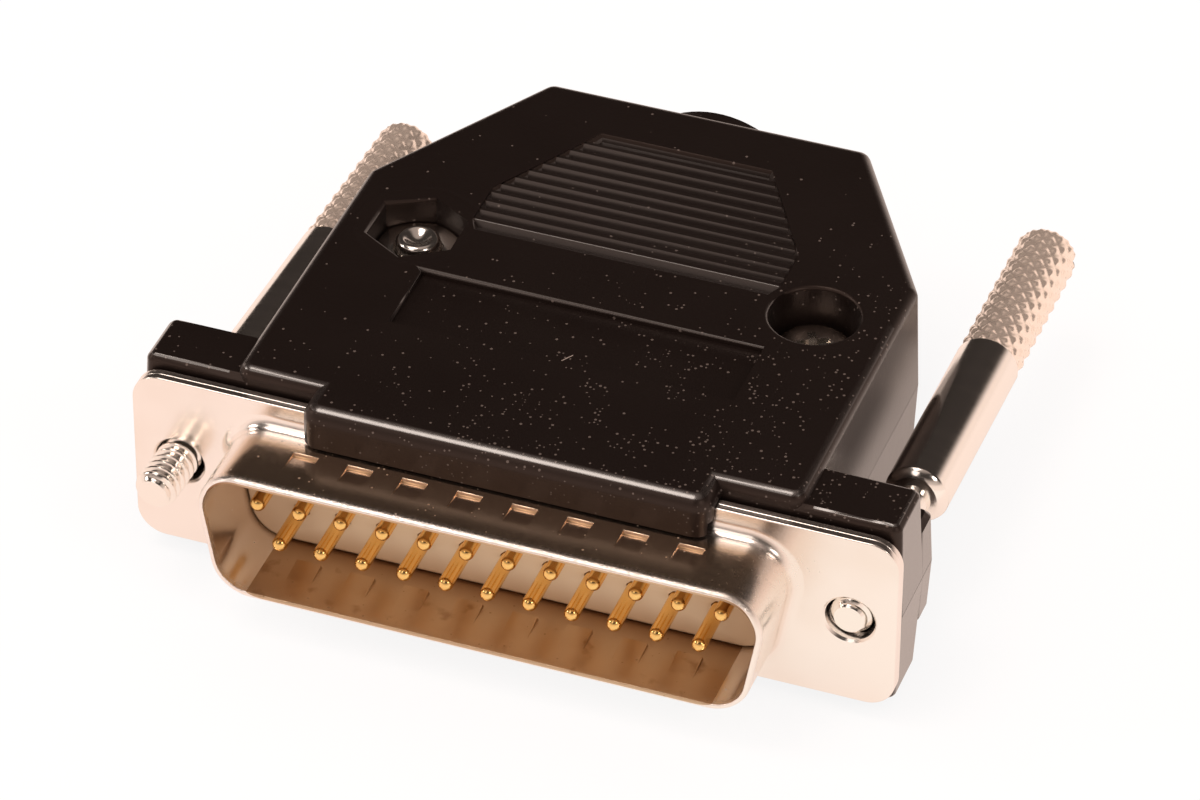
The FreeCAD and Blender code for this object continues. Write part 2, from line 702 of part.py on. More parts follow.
def recesses(piece, label):
    """The shallow label recess and the ribbed grip panel in the hood's face."""
    recess = piece.sketch("XY_Plane", "hood_half_height + overcut")
    rectangle(recess, "-label_half", "label_half", "label_front", "label_rear")
    piece.pocket(recess, "label_depth + overcut")
    grooves = Piece(label + "_grip")
    panel = grooves.sketch()
    outline(panel, [("-grip_half + grip_cut", "grip_front"), ("grip_half - grip_cut", "grip_front"),
                    ("grip_half", "grip_front + 2 * grip_cut"), ("grip_half", "grip_side"),
                    ("grip_rear_half", "grip_rear"), ("-grip_rear_half", "grip_rear"),
                    ("-grip_half", "grip_side"), ("-grip_half", "grip_front + 2 * grip_cut")])
    grooves.pad(panel, "grip_depth + overcut")
    grooves.draft_walls("grip_slope", outwards=True)
    ridge = grooves.sketch("YZ_Plane", "-grip_half - overcut")
    middle = "(grip_front + ridge_first)"
    top = "(grip_depth - ridge_drop)"
    outline(ridge, [(f"{middle} - ridge_foot / 2", "0"), (f"{middle} + ridge_foot / 2", "0"),
                    (f"{middle} + ridge_top / 2", top), (f"{middle} - ridge_top / 2", top)])
    cut = grooves.pocket(ridge, "2 * (grip_half + overcut)", back=True)
    grooves.rows([cut], "ridge_count", "ridge_pitch", "Y_Axis")
    grooves.place(z="hood_half_height - grip_depth")
    piece.join("Cut", grooves)


def closing_screws():
    """Two pan-head screws with cross recesses, each with a hexagon nut in the other half."""
    for side, sign, flip in (("right", "", False), ("left", "-", True)):
        screw = Piece(f"hood_screw_{side}")
        profile = screw.sketch("XZ_Plane")
        end = "(closure_seat - closure_length)"
        outline(profile, [("0", end), ("closure_radius - closure_chamfer", end),
                          ("closure_radius", f"{end} + closure_chamfer"),
                          ("closure_radius", "closure_seat"), ("head_radius", "closure_seat"),
                          ("head_radius", "closure_seat + head_height * head_rim_height"),
                          ("head_radius * head_crown", "closure_seat + head_height"),
                          ("0", "closure_seat + head_height")])
        screw.turn(profile, "Z_Axis")
        cross = screw.sketch("XY_Plane", "closure_seat + head_height + overcut")
        arm = "(head_radius * recess_reach)"
        rectangle(cross, f"-{arm}", arm, "-recess_half", "recess_half")
        screw.pocket(cross, "head_recess + overcut")
        cross = screw.sketch("XY_Plane", "closure_seat + head_height + overcut")
        rectangle(cross, "-recess_half", "recess_half", f"-{arm}", arm)
        screw.pocket(cross, "head_recess + overcut")
        screw.place(f"{sign}closure_x", "closure_y", half_turn=flip)
        nut = Piece(f"hood_nut_{side}")
        body = nut.sketch("XY_Plane", "-nut_seat - nut_height")
        hexagon(body, "0", "0", "nut_flats")
        nut.pad(body, "nut_height")
        hole = nut.sketch("XY_Plane", "-nut_seat + overcut")
        circle(hole, "0", "0", "closure_radius + nut_play")
        nut.pocket(hole, "nut_height + 2 * overcut")
        nut.place(f"{sign}closure_x", "closure_y", half_turn=flip)


def jackscrews():
    """One screw in each ear, trapped by its neck: the left one pushed in, the right one drawn back.

    Each is loose in its hole and leans a little, with its rear end to the right.
    """
    for side, sign, tip in (("left", "-", "(-rest_forward)"), ("right", "", "0")):
        screw = Piece(f"jackscrew_{side}")
        profile = screw.sketch("YZ_Plane")
        knurl = f"({SHOULDER} + shank_length)"
        end = f"({knurl} + knurl_length)"
        outline(profile, [("0", "0"), ("0", "thread_radius - thread_chamfer"), ("thread_chamfer", "thread_radius"),
                          ("thread_length", "thread_radius"), ("thread_length", "neck_radius"),
                          (SHOULDER, "neck_radius"), (SHOULDER, "shank_thick - shoulder_chamfer"),
                          (f"{SHOULDER} + shoulder_chamfer", "shank_thick"), (knurl, "shank_thick"),
                          (knurl, "knurl_radius"), (f"{end} - knurl_chamfer", "knurl_radius"),
                          (end, "knurl_radius - knurl_chamfer"), (end, "0")])
        screw.turn(profile)
        slot = screw.sketch("XZ_Plane", f"-{end} - overcut")
        rectangle(slot, "-knurl_radius - overcut", "knurl_radius + overcut", "-slot_width / 2", "slot_width / 2")
        screw.pocket(slot, "slot_depth + overcut", back=True)
        lean = f"{side}_lean"
        back = f"({tip} - lean_pivot)"
        screw.place(f"{sign}{HOLE_X} + {back} * sin({lean})", f"lean_pivot + {back} * cos({lean})")
        screw.body.setExpression("Placement.Rotation.Angle", formula(f"-{lean}"))


def cable_clamp():
    """Two bent saddles, drawn together by two small screws with nuts."""
    for side, flip in (("upper", False), ("lower", True)):
        saddle = Piece(f"cable_clamp_{side}")
        strip = saddle.sketch("XZ_Plane", "-saddle_front")
        rectangle(strip, "-saddle_half", "saddle_half", "saddle_gap / 2", SADDLE_TOP)
        saddle.pad(strip, "saddle_length", back=True)
        arch = saddle.sketch("XZ_Plane", "-saddle_front")
        circle(arch, "0", "0", "saddle_arch + saddle_thick")
        saddle.pad(arch, "saddle_length", back=True)
        under = saddle.sketch("XZ_Plane", "-saddle_front")
        rectangle(under, "-saddle_half", "saddle_half", "-2 * saddle_arch", "saddle_gap / 2")
        saddle.pocket(under, "2 * saddle_length")
        way = saddle.sketch("XZ_Plane", "-saddle_front")
        circle(way, "0", "0", "saddle_arch")
        saddle.pocket(way, "2 * saddle_length")
        holes = saddle.sketch("XY_Plane", "saddle_gap / 2 - overcut")
        middle = "saddle_front + saddle_length / 2"
        circle(holes, "clamp_x", middle, "clamp_hole")
        circle(holes, "-clamp_x", middle, "clamp_hole")
        saddle.pocket(holes, "saddle_thick + 2 * overcut", back=True)
        saddle.place(half_turn=flip)
    for side, sign in (("left", "-"), ("right", "")):
        screw = Piece(f"clamp_screw_{side}")
        profile = screw.sketch("XZ_Plane")
        outline(profile, [("0", f"{SADDLE_TOP} - clamp_screw_length"),
                          ("clamp_screw_radius", f"{SADDLE_TOP} - clamp_screw_length"),
                          ("clamp_screw_radius", SADDLE_TOP), ("clamp_head_radius", SADDLE_TOP),
                          ("clamp_head_radius * clamp_head_crown", f"{SADDLE_TOP} + clamp_head_height"),
                          ("0", f"{SADDLE_TOP} + clamp_head_height")])
        screw.turn(profile, "Z_Axis")
        slot = screw.sketch("XY_Plane", f"{SADDLE_TOP} + clamp_head_height + overcut")
        rectangle(slot, "-clamp_head_radius - overcut", "clamp_head_radius + overcut", "-recess_half", "recess_half")
        screw.pocket(slot, "clamp_slot_depth + overcut")
        screw.place(f"{sign}clamp_x", middle)
        nut = Piece(f"clamp_nut_{side}")
        body = nut.sketch("XY_Plane", f"-{SADDLE_TOP} - clamp_nut_height")
        hexagon(body, "0", "0", "clamp_nut_flats")
        nut.pad(body, "clamp_nut_height")
        hole = nut.sketch("XY_Plane", f"-{SADDLE_TOP} + overcut")
        circle(hole, "0", "0", "clamp_screw_radius + nut_play")
        nut.pocket(hole, "clamp_nut_height + 2 * overcut")
        nut.place(f"{sign}clamp_x", middle)


def write_parts():
    """Checks every object and piece, then writes one file for each piece."""
    doc.recompute()
    for item in doc.Objects:
        if "Invalid" in item.State or "Error" in item.State:
            raise ValueError(f"{item.Label} is {item.State}")
    tools = {used for item in doc.Objects if item.TypeId == "PartDesign::Boolean" for used in item.Group}
    os.makedirs("parts", exist_ok=True)
    for item in doc.Objects:
        if item.TypeId != "PartDesign::Body" or item in tools:
            continue
        shape = item.Shape
        if shape.isNull() or not shape.isValid() or len(shape.Solids) != 1:
            raise ValueError(f"{item.Label}: {len(shape.Solids)} solids, valid {shape.isValid()}")
        shape.exportStep(f"parts/{item.Label}.step")


front_shell()
rear_shell()
insulators()
pins()
hood_half("hood_upper", False)
hood_half("hood_lower", True)
closing_screws()
jackscrews()
cable_clamp()
write_parts()
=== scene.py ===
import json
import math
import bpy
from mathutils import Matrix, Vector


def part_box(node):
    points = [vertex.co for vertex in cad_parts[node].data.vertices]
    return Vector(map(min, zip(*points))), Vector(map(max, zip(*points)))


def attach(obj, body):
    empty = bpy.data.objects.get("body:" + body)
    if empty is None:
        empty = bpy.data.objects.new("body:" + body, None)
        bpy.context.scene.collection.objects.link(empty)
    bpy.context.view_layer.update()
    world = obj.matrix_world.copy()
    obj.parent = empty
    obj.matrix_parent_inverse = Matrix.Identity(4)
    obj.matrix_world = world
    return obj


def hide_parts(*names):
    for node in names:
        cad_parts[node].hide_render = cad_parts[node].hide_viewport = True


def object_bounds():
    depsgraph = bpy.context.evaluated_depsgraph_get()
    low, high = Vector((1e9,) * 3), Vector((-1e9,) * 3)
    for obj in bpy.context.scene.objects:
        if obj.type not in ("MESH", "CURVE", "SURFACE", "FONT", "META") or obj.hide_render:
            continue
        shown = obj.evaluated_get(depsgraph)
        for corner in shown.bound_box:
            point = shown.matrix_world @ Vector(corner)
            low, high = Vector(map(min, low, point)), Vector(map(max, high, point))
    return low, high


bl_info = {
    "name": "D-sub connector finisher",
    "version": (1, 0, 0),
    "blender": (4, 5, 0),
    "location": "View3D > Sidebar > Connector",
    "description": "Dresses the packed connector: threads, knurls, pins, screws, metals and the hood",
    "category": "Object",
}

import bmesh
import bpy
from bpy.props import FloatProperty, FloatVectorProperty, IntProperty, PointerProperty
from mathutils import Matrix, Vector

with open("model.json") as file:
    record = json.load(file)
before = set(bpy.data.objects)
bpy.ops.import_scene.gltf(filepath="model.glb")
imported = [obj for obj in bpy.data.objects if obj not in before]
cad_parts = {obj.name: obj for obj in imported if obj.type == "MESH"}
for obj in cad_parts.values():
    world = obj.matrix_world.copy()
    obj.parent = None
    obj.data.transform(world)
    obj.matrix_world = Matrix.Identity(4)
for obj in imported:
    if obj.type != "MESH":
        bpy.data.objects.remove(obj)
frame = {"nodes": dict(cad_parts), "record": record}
CAD_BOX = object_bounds()
NODES = frame["nodes"]
PINS = sorted(name for name in NODES if name.startswith("pin_"))
MM = 0.001
WELD = 2e-6


class Field:
    """A shader socket that can be used in plain maths."""

    def __init__(self, shader, socket):
        self.shader = shader
        self.socket = socket

    def maths(self, operation, *others):
        node = self.shader.add("ShaderNodeMath", {"operation": operation}, [self, *others])
        return node[0]

    def __add__(self, other):
        return self.maths("ADD", other)

    __radd__ = __add__

    def __sub__(self, other):
        return self.maths("SUBTRACT", other)

    def __rsub__(self, other):
        return (self * -1) + other

    def __mul__(self, other):
        return self.maths("MULTIPLY", other)

    __rmul__ = __mul__

    def __truediv__(self, other):
        return self.maths("DIVIDE", other)

    def __gt__(self, other):
        return self.maths("GREATER_THAN", other)

    def __lt__(self, other):
        return self.maths("LESS_THAN", other)

    def __abs__(self):
        return self.maths("ABSOLUTE")

    def root(self):
        return self.maths("SQRT")

    def ramp(self, low, high):
        """0 below low, 1 above high, and smooth between."""
        settings = {"interpolation_type": "SMOOTHSTEP"}
        inputs = {"Value": self, "From Min": low, "From Max": high}
        return self.shader.add("ShaderNodeMapRange", settings, inputs)[0]


class Shader:
    """A node tree with one output, built by code that reads like maths."""

    def __init__(self, tree):
        self.tree = tree
        tree.nodes.clear()

    def add(self, kind, settings=None, inputs=()):
        """Adds a node, sets its settings first and then its inputs, and returns its outputs as fields."""
        node = self.tree.nodes.new(kind)
        for name, setting in (settings or {}).items():
            setattr(node, name, setting)
        pairs = inputs.items() if isinstance(inputs, dict) else enumerate(inputs)
        for name, given in pairs:
            if isinstance(given, Field):
                self.tree.links.new(given.socket, node.inputs[name])
            else:
                node.inputs[name].default_value = given
        return [Field(self, socket) for socket in node.outputs]

    def place(self, scale=(1, 1, 1), offset=(0, 0, 0)):
        """Object coordinates in metres, moved and stretched."""
        coordinates = self.add("ShaderNodeTexCoord")[3]
        inputs = {"Vector": coordinates, "Scale": scale, "Location": offset}
        return self.add("ShaderNodeMapping", {}, inputs)[0]

    def noise(self, scale, detail=2.0, where=None):
        where = where or self.place()
        return self.add("ShaderNodeTexNoise", {}, {"Vector": where, "Scale": scale, "Detail": detail})[0]

    def specks(self, scale, radius, share, where=None):
        """1 inside small scattered dots, of which only a share of the cells has one."""
        cells = self.add("ShaderNodeTexVoronoi", {}, {"Vector": where or self.place(), "Scale": scale})
        chance = self.add("ShaderNodeSeparateColor", {}, [cells[1]])
        return (cells[0] < chance[1] * radius + radius * 0.4) * (chance[0] < share)

    def axes(self, where=None):
        return self.add("ShaderNodeSeparateXYZ", {}, [where or self.place()])

    def blend(self, factor, first, second):
        """A colour between two colours."""
        node = self.tree.nodes.new("ShaderNodeMix")
        node.data_type = "RGBA"
        for index, given in ((0, factor), (6, first), (7, second)):
            if isinstance(given, Field):
                self.tree.links.new(given.socket, node.inputs[index])
            else:
                node.inputs[index].default_value = given
        return Field(self, node.outputs[2])

    def bump(self, height, strength, distance, over=None):
        """A relief, by itself or over the normal of another."""
        inputs = {"Height": height, "Strength": strength, "Distance": distance}
        if over:
            inputs["Normal"] = over
        return self.add("ShaderNodeBump", {}, inputs)[0]

    def surface(self, **inputs):
        """The principled shader, joined to the output."""
        named = {}
        for name, given in inputs.items():
            named[name.replace("_", " ").title().replace("Ior", "IOR")] = given
        shader = self.add("ShaderNodeBsdfPrincipled", {}, named)[0]
        self.add("ShaderNodeOutputMaterial", {}, {"Surface": shader})


def new_material(name):
    material = bpy.data.materials.new(name)
    material.use_nodes = True
    return material, Shader(material.node_tree)


def colour(values):
    return (*values[:3], 1.0)


class HoodLook(bpy.types.PropertyGroup):
    """The black moulded hood."""

    plastic: FloatVectorProperty(name="Plastic", description="Colour of the moulding", subtype="COLOR",
                                 default=(0.0052, 0.0031, 0.0028), min=0, max=1)
    dust: FloatVectorProperty(name="Dust", description="Colour of the dust specks", subtype="COLOR",
                              default=(0.42, 0.36, 0.33), min=0, max=1)
    roughness: FloatProperty(name="Roughness", description="Base roughness of the moulding", default=0.4,
                             min=0, max=1)


class MetalLook(bpy.types.PropertyGroup):
    """The plated metals."""

    nickel: FloatVectorProperty(name="Nickel", description="Colour of the plated shells", subtype="COLOR",
                                default=(0.98, 0.93, 0.89), min=0, max=1)
    inside: FloatVectorProperty(name="Inside", description="Colour of the tarnished plate inside the mouth",
                                subtype="COLOR", default=(0.62, 0.46, 0.31), min=0, max=1)
    screw: FloatVectorProperty(name="Screw", description="Colour of the screws", subtype="COLOR",
                               default=(0.97, 0.93, 0.88), min=0, max=1)
    gold: FloatVectorProperty(name="Gold", description="Colour of the pins", subtype="COLOR",
                              default=(0.98, 0.68, 0.27), min=0, max=1)


class JackscrewSize(bpy.types.PropertyGroup):
    """The thread and the knurl of the two long screws."""

    thread_pitch: FloatProperty(name="Thread pitch", description="Rise of one turn", unit="LENGTH",
                                default=0.635 * MM)
    thread_depth: FloatProperty(name="Thread depth", description="Crest to root", unit="LENGTH",
                                default=0.3 * MM)
    knurl_pitch: FloatProperty(name="Knurl pitch", description="Length of one diamond", unit="LENGTH",
                               default=1.3 * MM)
    knurl_depth: FloatProperty(name="Knurl depth", description="Depth of the grooves", unit="LENGTH",
                               default=0.16 * MM)
    knurl_around: IntProperty(name="Diamonds around", description="Diamonds in one ring", default=12, min=4)


class StageLook(bpy.types.PropertyGroup):
    """The floor, the lamps and the camera."""

    distance: FloatProperty(name="Camera distance", description="From the aim to the camera", unit="LENGTH",
                            default=0.409)
    azimuth: FloatProperty(name="Azimuth", description="Camera direction round the part", default=19.878)
    elevation: FloatProperty(name="Elevation", description="Camera height as an angle", default=37.941)
    roll: FloatProperty(name="Roll", description="Camera roll", default=0.4)
    lens: FloatProperty(name="Lens", description="Focal length for a 36 mm wide sensor", default=192.52)
    aim: FloatVectorProperty(name="Aim", description="Point in the middle of the view",
                             subtype="TRANSLATION", default=(0.00043, 0.01517, 0.0))
    warmth: FloatVectorProperty(name="Warmth", description="Colour of what the metal mirrors",
                                subtype="COLOR", default=(1.0, 0.8, 0.7), min=0, max=1)
    floor_size: FloatProperty(name="Floor size", description="Side of the floor", unit="LENGTH",
                              default=6.0)


def looks():
    return bpy.context.scene.connector_looks


class ConnectorLooks(bpy.types.PropertyGroup):
    """All settings of the connector's finish."""

    hood: PointerProperty(type=HoodLook, name="Hood", description="The moulded hood")
    metal: PointerProperty(type=MetalLook, name="Metal", description="The plated metals")
    jackscrew: PointerProperty(type=JackscrewSize, name="Jackscrew", description="Thread and knurl")
    stage: PointerProperty(type=StageLook, name="Stage", description="Floor, lamps and camera")


def hood_plastic():
    """Black satin moulding with a fine spark-eroded skin, mould marks, dust and a small scratch."""
    look = looks().hood
    material, shader = new_material("hood_plastic")
    east, north, up = shader.axes()
    height = abs(up)
    upper = up > 4 * MM
    crowd = (east * 11 - north * 16 + 0.42).ramp(0.0, 0.5)
    clumps = shader.noise(260, 1).ramp(0.3, 0.6)
    fine = shader.specks(3400, 0.24, clumps * crowd * 0.5 + 0.04)
    coarse = shader.specks(760, 0.026, crowd * 0.07 + 0.03)
    dust = (fine * 0.3).maths("MAXIMUM", coarse * 0.5) * (upper * 0.8 + 0.2)
    strokes = [scratch(shader, (0.09, 9.81), 58.8, 0.56), scratch(shader, (0.23, 9.27), -8.7, 0.42)]
    mark = strokes[0].maths("MAXIMUM", strokes[1])
    seam = (abs(height - 6.45 * MM) < 0.035 * MM) * (north < 0.2 * MM)
    tint = shader.blend(dust.maths("MAXIMUM", mark * upper) * 0.7, colour(look.plastic), colour(look.dust))
    parting = height < 0.045 * MM
    tint = shader.blend((seam * 0.7).maths("MAXIMUM", parting), tint, (0.002, 0.0015, 0.0015, 1))
    skin = shader.bump(shader.noise(5200, 3), 0.2, 0.03 * MM)
    skin = shader.bump(shader.noise(800, 2), 0.08, 0.12 * MM, skin)
    skin = shader.bump(sink_ring(shader, east, north), 0.1, 0.12 * MM, skin)
    grazing = shader.add("ShaderNodeLayerWeight", {}, {"Blend": 0.5, "Normal": skin})[1]
    sheen = grazing.ramp(0.42, 0.74) * (abs(east).ramp(20 * MM, 24 * MM) * 0.45 + 0.55)
    sheen = sheen.maths("MAXIMUM", rubbed(east, north, height)) * (1 - parting * 0.8)
    shader.surface(base_color=tint, normal=skin, coat_weight=sheen, coat_roughness=0.24,
                   coat_ior=2.9, specular_tint=(1.0, 0.76, 0.66, 1.0), ior=1.5,
                   roughness=shader.noise(140, 2) * 0.14 + (look.roughness - 0.06) + dust * 0.3)
    return material


def rubbed(east, north, height):
    """How far handling has polished a place: the rounded edges of body and ears, and the ribbed panel."""
    body = height.ramp(7.36 * MM, 7.42 * MM) * (1 - height.ramp(7.57 * MM, 7.6 * MM)) * (north < 19.6 * MM)
    body = body * (0.7 - (north > 2 * MM) * 0.3)
    ears = height.ramp(6.78 * MM, 6.81 * MM) * (1 - height.ramp(6.88 * MM, 6.9 * MM))
    ears = ears * (abs(east) > 19.2 * MM) * 0.7
    half, taper_start, taper = 10.3 * MM, 24.5 * MM, 0.561
    panel = (north > 20.4 * MM) * (north < 32.5 * MM) * (abs(east) < half)
    panel = panel * (abs(east) + (north - taper_start) * taper < half) * 0.25
    return body.maths("MAXIMUM", ears).maths("MAXIMUM", panel)


def scratch(shader, middle, angle, half):
    """1 along a short straight scratch: its middle, turn in degrees and half length in millimetres."""
    turn = math.radians(angle)
    east, north, _ = shader.axes()
    across = (east - middle[0] * MM) * -math.sin(turn) + (north - middle[1] * MM) * math.cos(turn)
    along = (east - middle[0] * MM) * math.cos(turn) + (north - middle[1] * MM) * math.sin(turn)
    return (abs(across) < 0.035 * MM) * (abs(along) < half * MM)


def sink_ring(shader, east, north):
    """The faint ring that the post behind the nut pocket leaves in the face."""
    across = east + 13.4 * MM
    along = north - 18.9 * MM
    distance = (across * across + along * along).root()
    return 1 - (abs(distance - 4.1 * MM) * 3000).ramp(0, 1)


def plated_nickel():
    """Drawn sheet with a thin, slightly wavy nickel plate that is browner inside the mouth, with painted
    shade on the mouth's side walls and back, and a painted reflection of the lip as a darker bronze on the
    top wall.
    """
    look = looks().metal
    material, shader = new_material("plated_nickel")
    east, north, up = shader.axes()
    side = abs(east) + (4.18 * MM - up) * math.tan(math.radians(10))
    across = (side - 15.8 * MM).maths("MAXIMUM", 0)
    high = (abs(up) - 1.88 * MM).maths("MAXIMUM", 0)
    inside = ((across * across + high * high).root() < 2.52 * MM) * (north < 0.3 * MM)
    pits = shader.noise(3600, 2)
    stain = shader.noise(90, 3).ramp(0.45, 0.75)
    flecks = shader.specks(2600, 0.16, shader.noise(400, 1).ramp(0.4, 0.7) * 0.35) * (north < -0.6 * MM)
    rim = 1 - north.ramp(-5.75 * MM, -5.1 * MM)
    tint = shader.blend(stain * 0.3, colour(look.nickel), (0.82, 0.68, 0.56, 1))
    # painted shade: the mouth's side walls, and its back at half strength, are painted dark brown as if
    # shaded by the depth of the mouth; the noise spots mixed in are real tarnish
    ends = abs(east).ramp(14.5 * MM, 18 * MM).maths("MAXIMUM", north.ramp(-2.6 * MM, 0) * 0.5)
    spots = shader.noise(520, 3).ramp(0.6, 0.72) * 0.5
    tarnish_and_shade = shader.blend(ends.maths("MAXIMUM", spots), colour(look.inside), (0.3, 0.16, 0.08, 1))
    # painted reflection: the top wall behind the rim is painted a darker bronze, standing in for the dark
    # brown lip that it mirrors
    painted_reflection_tone = up.ramp(4.1 * MM, 4.6 * MM) * (1 - north.ramp(-1.8 * MM, -0.6 * MM)) * (1 - rim)
    tint = shader.blend(painted_reflection_tone * 0.85, tint, (0.78, 0.56, 0.38, 1))
    tint = shader.blend(inside, tint, tarnish_and_shade)
    normal = shader.bump(pits, 0.1, 0.02 * MM)
    normal = shader.bump(shader.noise(260, 2), 0.1, 0.2 * MM, normal)
    normal = shader.bump(shader.noise(9000, 2) * rim, 0.9, 0.035 * MM, normal)
    shader.surface(base_color=tint, metallic=1.0, normal=normal,
                   roughness=pits * 0.12 + 0.15 + stain * 0.05 + inside * 0.12 + flecks * 0.5 + rim * 0.1)
    return material


def screw_nickel():
    """Turned steel under bright nickel."""
    look = looks().metal
    material, shader = new_material("screw_nickel")
    rings = shader.noise(700, 2, shader.place(scale=(0.4, 3, 0.4)))
    shader.surface(base_color=colour(look.screw), metallic=1.0, roughness=rings * 0.12 + 0.1,
                   normal=shader.bump(rings, 0.05, 0.02 * MM))
    return material


def jackscrew_nickel():
    """The long screws' bright nickel, duller where the knurl was rolled."""
    look = looks().metal
    material, shader = new_material("jackscrew_nickel")
    east, along, _ = shader.axes()
    rings = shader.noise(700, 2, shader.place(scale=(0.4, 3, 0.4)))
    rolled = (along + (east < 0) * (3.6 * MM)).ramp(27.2 * MM, 27.6 * MM)
    tint = shader.blend(rolled, colour(look.screw), (1.0, 0.88, 0.78, 1))
    shader.surface(base_color=tint, metallic=1 - rolled * 0.25, roughness=rings * 0.12 + 0.1 + rolled * 0.1,
                   normal=shader.bump(rings, 0.05, 0.02 * MM))
    return material


def gold_flash():
    """Gold over brass, drawn along the pin."""
    look = looks().metal
    material, shader = new_material("gold_flash")
    drawn = shader.noise(1500, 2, shader.place(scale=(3, 0.5, 3)))
    tint = shader.blend(drawn, colour(look.gold), (0.9, 0.56, 0.18, 1))
    shader.surface(base_color=tint, metallic=1.0, roughness=drawn * 0.1 + 0.16,
                   normal=shader.bump(drawn, 0.04, 0.02 * MM))
    return material


def pale_moulding():
    """The pale face of the front insulator, with painted shade towards its ends and its bottom."""
    material, shader = new_material("pale_moulding")
    grain = shader.noise(1800, 2)
    tint = shader.blend(shader.noise(160, 2), (0.94, 0.80, 0.58, 1), (0.98, 0.87, 0.68, 1))
    east, _, up = shader.axes()
    # painted shade: the face is painted darker and browner towards both ends and towards the bottom
    shade = abs(east).ramp(9 * MM, 18 * MM).maths("MAXIMUM", 1 - up.ramp(-4.4 * MM, -1.4 * MM))
    tint = shader.blend(shade * 0.75, tint, (0.5, 0.3, 0.15, 1))
    shader.surface(base_color=tint, roughness=grain * 0.1 + 0.38, normal=shader.bump(grain, 0.1, 0.02 * MM))
    return material


def dark_moulding():
    """The rear insulator's dark moulding."""
    material, shader = new_material("dark_moulding")
    grain = shader.noise(1800, 2)
    tint = shader.blend(grain, (0.012, 0.012, 0.012, 1), (0.022, 0.021, 0.02, 1))
    shader.surface(base_color=tint, roughness=grain * 0.1 + 0.45, normal=shader.bump(grain, 0.1, 0.02 * MM))
    return material


def clamp_strip():
    """Plain plated strip, as rolled."""
    material, shader = new_material("clamp_strip")
    rolled = shader.noise(900, 2, shader.place(scale=(1, 6, 1)))
    tint = shader.blend(rolled, (0.5, 0.48, 0.46, 1), (0.68, 0.65, 0.62, 1))
    shader.surface(base_color=tint, metallic=1.0, roughness=rolled * 0.2 + 0.3,
                   normal=shader.bump(rolled, 0.08, 0.02 * MM))
    return material


FINISHES = {
    "hood": hood_plastic,
    "plated_steel": plated_nickel,
    "jackscrew_steel": jackscrew_nickel,
    "screw_steel": screw_nickel,
    "gold_pin": gold_flash,
    "face_moulding": pale_moulding,
    "rear_moulding": dark_moulding,
    "clamp_steel": clamp_strip,
}


def finish(slot):
    """The material for one of the record's slots, made once."""
    name = "finish_" + slot
    if name not in bpy.data.materials:
        FINISHES[slot]().name = name
    return bpy.data.materials[name]


def node_slot(node):
    return next(part["material_slot"] for part in frame["record"]["subparts"] if part["node"] == node)


def node_body(node):
    return next(body for body, members in frame["record"]["behaviour"]["bodies"].items() if node in members)


def dress(piece, node):
    """Gives a new piece the place of a CAD node: its body, its slot and its finish."""
    slot = node_slot(node)
    piece.data.materials.clear()
    piece.data.materials.append(finish(slot))
    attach(piece, node_body(node))
    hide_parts(node)


def new_piece(name, mesh):
    """An object from a finished bmesh, with smooth faces and sharp edges kept."""
    bmesh.ops.recalc_face_normals(mesh, faces=mesh.faces)
    for face in mesh.faces:
        face.smooth = True
    for edge in mesh.edges:
        edge.smooth = not (edge.is_manifold and edge.calc_face_angle(0) > math.radians(35))
    data = bpy.data.meshes.new(name)
    mesh.to_mesh(data)
    mesh.free()
    piece = bpy.data.objects.new(name, data)
    bpy.context.scene.collection.objects.link(piece)
    return piece


def turned(mesh, profile, steps=48):
    """Spins a profile of (distance along, radius) round the Y axis into the mesh."""
    chain = [mesh.verts.new((radius, along, 0)) for along, radius in profile]
    edges = [mesh.edges.new(pair) for pair in zip(chain, chain[1:])]
    bmesh.ops.spin(mesh, geom=chain + edges, cent=(0, 0, 0), axis=(0, 1, 0), angle=math.tau, steps=steps,
                   use_merge=True)
    bmesh.ops.remove_doubles(mesh, verts=mesh.verts, dist=1e-7)


def arc(centre, radius, start, end, count):
    """Points (along, radius) of an arc, with angles in degrees from the axis."""
    points = []
    for step in range(count + 1):
        angle = math.radians(start + (end - start) * step / count)
        points.append((centre[0] - radius * math.cos(angle), centre[1] + radius * math.sin(angle)))
    return points


class CONNECTOR_OT_finishes(bpy.types.Operator):
    """Give every CAD node the finish of its material slot"""

    bl_idname = "connector.finishes"
    bl_label = "Finishes"

    def execute(self, context):
        for name, node in NODES.items():
            node.data.materials.clear()
            node.data.materials.append(finish(node_slot(name)))
        return {"FINISHED"}


def welded(node):
    """A merged copy of a CAD node's mesh, its flat faces whole again."""
    mesh = bmesh.new()
    mesh.from_mesh(NODES[node].data)
    bmesh.ops.remove_doubles(mesh, verts=mesh.verts, dist=WELD)
    bmesh.ops.dissolve_limit(mesh, angle_limit=math.radians(1), verts=mesh.verts, edges=mesh.edges)
    return mesh


def sharp_edges(mesh, wanted, angle=28):
    """Edges sharper than an angle whose two ends and middle are all where the test wants them."""
    edges = []
    for edge in mesh.edges:
        if edge.is_manifold and edge.calc_face_angle(0) > math.radians(angle):
            ends = [corner.co / MM for corner in edge.verts]
            if all(wanted(*place) for place in (*ends, (ends[0] + ends[1]) / 2)):
                edges.append(edge)
    return edges


def soften(mesh, edges, width, segments=3):
    bmesh.ops.bevel(mesh, geom=edges, offset=width, offset_type="OFFSET", segments=segments,
                    profile=0.5, affect="EDGES", material=-1)


def stand_in(node, mesh, name=None):
    """Puts a finished mesh in a node's place, with its flat faces shaded flat."""
    piece = new_piece(name or node + "_finished", mesh)
    weighted = piece.modifiers.new("flat_faces", "WEIGHTED_NORMAL")
    weighted.keep_sharp = True
    dress(piece, node)
    return piece


